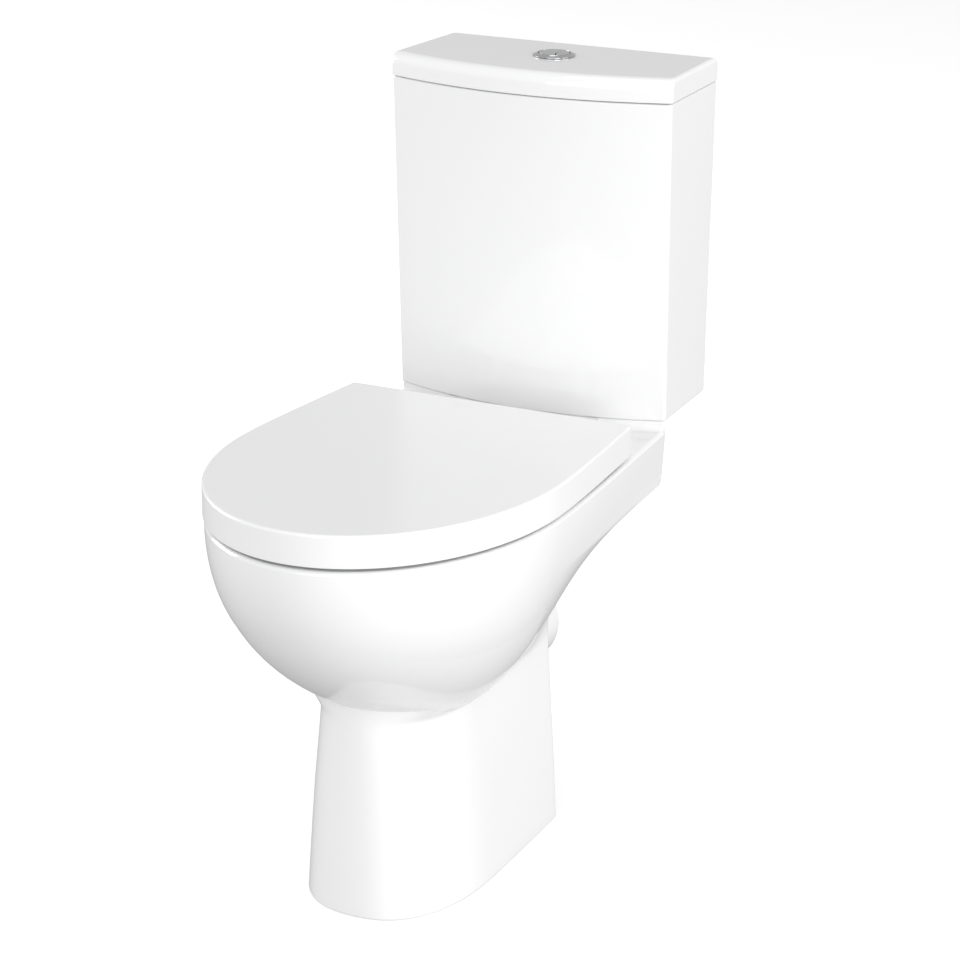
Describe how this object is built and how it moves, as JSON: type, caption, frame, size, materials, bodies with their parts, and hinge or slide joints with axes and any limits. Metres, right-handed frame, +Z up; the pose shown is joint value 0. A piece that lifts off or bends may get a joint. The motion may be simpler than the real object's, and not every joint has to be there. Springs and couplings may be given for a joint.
{
  "type": "close coupled toilet",
  "caption": "Close coupled toilet: washdown pan, bowed cistern with a round two-part push button, and a wrap-over seat and cover.",
  "frame": {"origin": "on the floor, midway between the back of the cistern and the nose of the seat, on the middle plane", "axes": "+Z up, +Y towards the wall behind the cistern, +X to the right for someone facing the toilet"},
  "size_m": [0.3486, 0.6536, 0.7913],
  "materials": {
    "china": "white vitreous china with a clear gloss glaze",
    "seat_plastic": "moulded white gloss",
    "chrome": "polished",
    "valve_plastic": "natural moulded",
    "coloured_plastic": "grey blue moulded",
    "rod_plastic": "red moulded",
    "rubber": "matt black",
    "steel": "stainless",
    "nylon": "translucent white"
  },
  "bodies": {
    "toilet": {"pan": "china", "cistern": "china", "flush_valve_base": "valve_plastic", "flush_valve_cage": "valve_plastic", "flush_valve_backnut": "valve_plastic", "fill_valve_body": "valve_plastic", "fill_valve_backnut": "valve_plastic", "flush_valve_head": "coloured_plastic", "fill_valve_cap": "coloured_plastic", "flush_valve_washer": "rubber", "coupling_gasket": "rubber", "fill_valve_washer": "rubber", "fill_valve_lower_washer": "rubber", "coupling_seal_left": "rubber", "coupling_seal_right": "rubber", "seat_washer_left": "rubber", "seat_washer_right": "rubber", "coupling_bolt_left": "steel", "coupling_bolt_right": "steel", "coupling_washer_left": "steel", "coupling_washer_right": "steel", "coupling_wing_nut_left": "steel", "coupling_wing_nut_right": "steel", "hinge_post_left": "steel", "hinge_post_right": "steel", "hinge_pin_left": "steel", "hinge_pin_right": "steel", "seat_bolt_left": "nylon", "seat_bolt_right": "nylon", "seat_wing_nut_left": "nylon", "seat_wing_nut_right": "nylon"},
    "lid": {"cistern_lid": "china", "button_bezel": "chrome", "button_nut": "valve_plastic"},
    "full_button": {"full_flush_button": "chrome", "full_flush_rod": "rod_plastic"},
    "half_button": {"half_flush_button": "chrome", "half_flush_rod": "rod_plastic"},
    "flush_spindle": {"overflow_tube": "valve_plastic", "flush_seal": "rubber", "flush_valve_float": "coloured_plastic"},
    "float": {"float_cup": "coloured_plastic", "float_link": "steel"},
    "float_lever": {"float_arm": "valve_plastic"},
    "ring": {"seat_ring": "seat_plastic", "ring_buffer_front_left": "nylon", "ring_buffer_front_right": "nylon", "ring_buffer_rear_left": "nylon", "ring_buffer_rear_right": "nylon"},
    "cover": {"seat_cover": "seat_plastic", "cover_buffer_left": "nylon", "cover_buffer_right": "nylon"}
  },
  "joints": [
    {"name": "ring_hinge", "type": "hinge", "parent": "toilet", "child": "ring", "pos_m": [0, 0.12375, 0.43], "axis": [1, 0, 0], "range_deg": [-92, 0]},
    {"name": "cover_hinge", "type": "hinge", "parent": "ring", "child": "cover", "pos_m": [0, 0.12375, 0.43], "axis": [-1, 0, 0], "range_deg": [0, 92]},
    {"name": "lid_lift", "type": "slide", "parent": "toilet", "child": "lid", "axis": [0, 0, 1], "range_m": [0, 0.05]},
    {"name": "full_flush_press", "type": "slide", "parent": "lid", "child": "full_button", "axis": [0, 0, -1], "range_m": [0, 0.006], "stiffness_N_per_m": 300, "springref_m": -0.004},
    {"name": "half_flush_press", "type": "slide", "parent": "lid", "child": "half_button", "axis": [0, 0, -1], "range_m": [0, 0.006], "stiffness_N_per_m": 300, "springref_m": -0.004},
    {"name": "flush_valve_lift", "type": "slide", "parent": "toilet", "child": "flush_spindle", "axis": [0, 0, 1], "range_m": [0, 0.012]},
    {"name": "float_rise", "type": "slide", "parent": "toilet", "child": "float", "axis": [0, 0, 1], "range_m": [0, 0.018]},
    {"name": "float_arm_swing", "type": "hinge", "parent": "toilet", "child": "float_lever", "pos_m": [-0.112, 0.26075, 0.7055], "axis": [0, -1, 0], "range_deg": [0, 38]}
  ],
  "couplings": [
    {"joint": "flush_valve_lift", "follows": "full_flush_press", "ratio": 2},
    {"joint": "float_arm_swing", "follows": "float_rise", "rad_per_m": 36.36}
  ]
}
